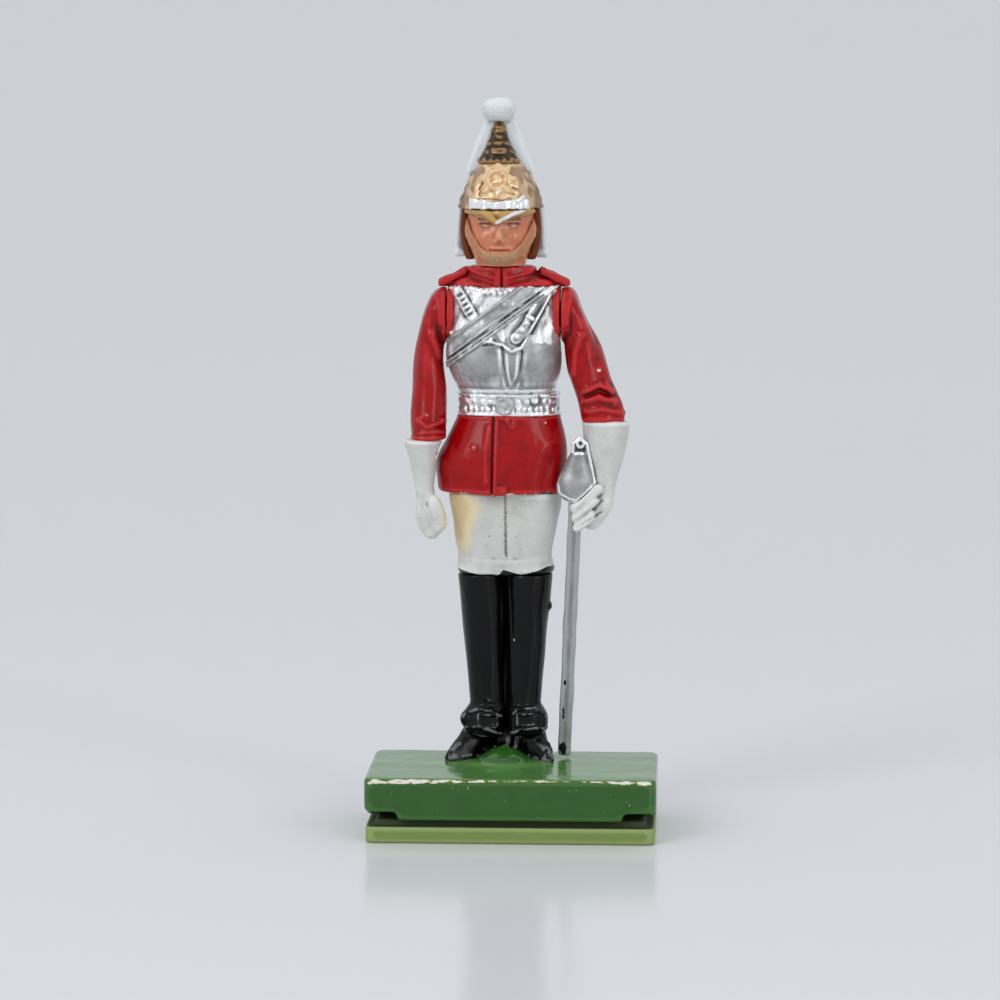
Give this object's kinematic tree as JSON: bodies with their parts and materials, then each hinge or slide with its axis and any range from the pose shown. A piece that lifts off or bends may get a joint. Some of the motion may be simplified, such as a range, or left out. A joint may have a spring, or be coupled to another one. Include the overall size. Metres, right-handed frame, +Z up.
{
  "type": "toy soldier figure",
  "caption": "Painted toy soldier of a cavalry trooper in plumed helmet and cuirass, hand on sword, on a rectangular base; head turns and arms swing on plug pegs.",
  "frame": {"origin": "middle of the base's underside", "axes": "+Z up; the figure faces -Y, and its left hand with the sword is on +X"},
  "size_m": [0.03, 0.017, 0.0759],
  "materials": {
    "base_green": "gloss paint, chipped along the edges",
    "plate_green": "matt moulded plastic",
    "boot_black": "gloss black paint",
    "breeches_white": "satin off-white paint with an old yellow stain",
    "tunic_red": "gloss red paint",
    "cuirass_silver": "silver paint, bright on the raised parts",
    "belt_silver": "bright silver paint",
    "belt_white": "silver and off-white paint",
    "strap_red": "gloss red paint with a gold edge",
    "pouch_black": "gloss black paint",
    "skin": "gloss flesh paint",
    "hair_brown": "satin brown paint",
    "chain_gold": "dull gold paint",
    "helmet_gold": "pale gold paint",
    "peak_gold": "dull gold paint",
    "trim_silver": "bright silver paint",
    "spike_bronze": "dark bronze paint",
    "plume_white": "off-white moulding, speckled at the tuft",
    "gauntlet_white": "satin off-white paint",
    "sword_steel": "dull silver paint, worn to black"
  },
  "bodies": {
    "figure": {"under_plate": "plate_green", "base_casting": "base_green", "right_boot": "boot_black", "left_boot": "boot_black", "breeches": "breeches_white", "tunic_skirt": "tunic_red", "torso": "tunic_red", "breastplate": "cuirass_silver", "backplate": "cuirass_silver", "waist_belt": "belt_silver", "belt_clasp": "belt_silver", "cross_belt": "belt_white", "pouch": "pouch_black", "right_shoulder_strap": "strap_red", "left_shoulder_strap": "strap_red"},
    "head_group": {"head": "skin", "hair": "hair_brown", "chin_chain": "chain_gold", "helmet_shell": "helmet_gold", "helmet_peak": "peak_gold", "peak_trim": "trim_silver", "helmet_plate": "helmet_gold", "plume_spike": "spike_bronze", "plume": "plume_white"},
    "right_arm": {"right_sleeve": "tunic_red", "right_gauntlet": "gauntlet_white"},
    "left_arm": {"left_sleeve": "tunic_red", "left_gauntlet": "gauntlet_white", "sword_hilt": "sword_steel", "scabbard": "sword_steel"}
  },
  "joints": [
    {"name": "head_turn", "type": "hinge", "parent": "figure", "child": "head_group", "pos_m": [-0.00145, 0.0034, 0.0575], "axis": [0, 0, 1], "range_deg": [-60, 60]},
    {"name": "right_arm_swing", "type": "hinge", "parent": "figure", "child": "right_arm", "pos_m": [-0.006, 0.0043, 0.05343], "axis": [-1, 0, 0], "range_deg": [0, 80]},
    {"name": "left_arm_swing", "type": "hinge", "parent": "figure", "child": "left_arm", "pos_m": [0.0037, 0.0043, 0.05343], "axis": [-1, 0, 0], "range_deg": [0, 70]}
  ]
}
